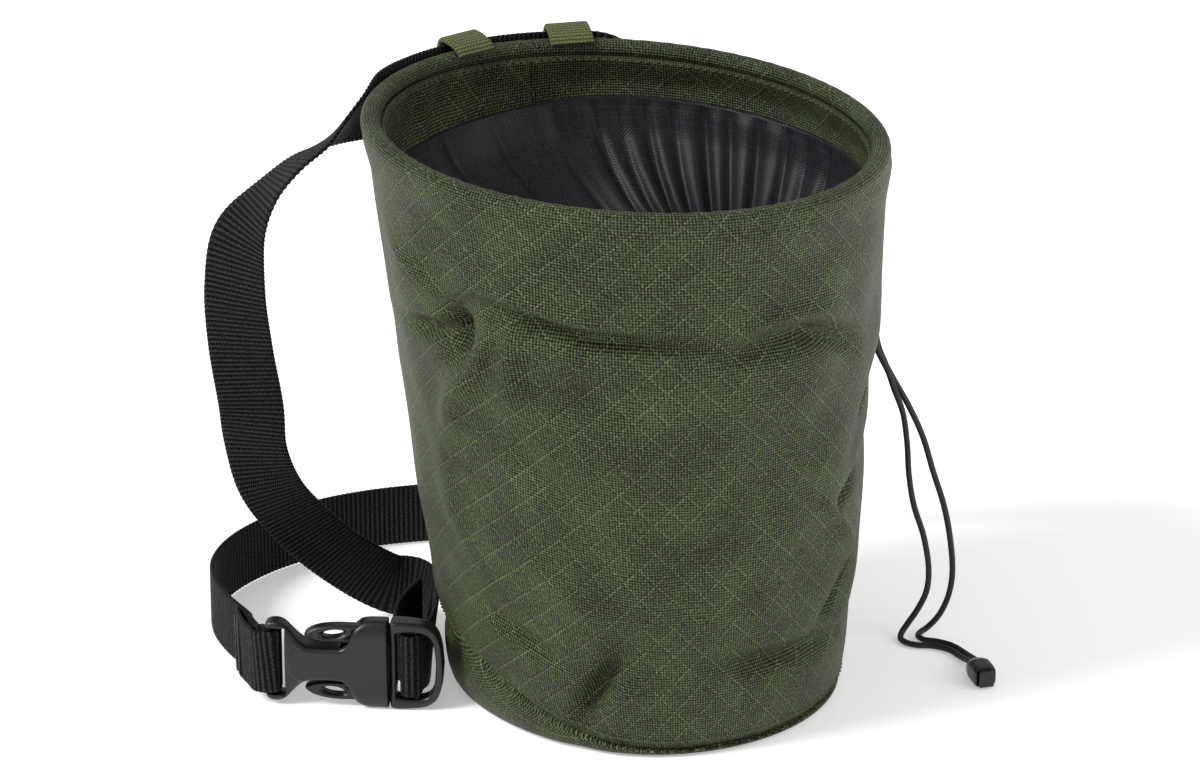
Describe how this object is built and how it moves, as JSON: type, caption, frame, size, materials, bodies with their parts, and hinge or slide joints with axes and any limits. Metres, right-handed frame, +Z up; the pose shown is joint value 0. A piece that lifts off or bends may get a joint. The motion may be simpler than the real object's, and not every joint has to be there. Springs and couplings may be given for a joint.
{
  "type": "climbing chalk bag",
  "caption": "Round cloth chalk bag with a rolled rim, gathered collar, webbing waist belt on a side-release buckle, and a drawcord.",
  "frame": {"origin": "centre of the base's underside, on the floor", "axes": "+Z up through the mouth, -Y towards the bag's front, +Y towards its belt loops"},
  "size_m": [0.2208, 0.1952, 0.1842],
  "materials": {
    "olive_ripstop": "woven nylon ripstop, slight sheen",
    "charcoal_nylon": "thin ripstop nylon, soft sheen",
    "olive_webbing": "woven webbing",
    "black_webbing": "ribbed webbing",
    "black_plastic": "satin moulded acetal",
    "black_cord": "braided cord"
  },
  "bodies": {
    "root": {"shell": "olive_ripstop", "base_panel": "olive_ripstop", "facing": "olive_ripstop", "collar": "charcoal_nylon", "belt_loop_left": "olive_webbing", "belt_loop_right": "olive_webbing", "belt": "black_webbing", "buckle_female": "black_plastic", "buckle_male": "black_plastic", "cord_eyelet": "black_plastic", "drawcord_a": "black_cord", "drawcord_b": "black_cord", "cord_end": "black_plastic"}
  },
  "joints": []
}
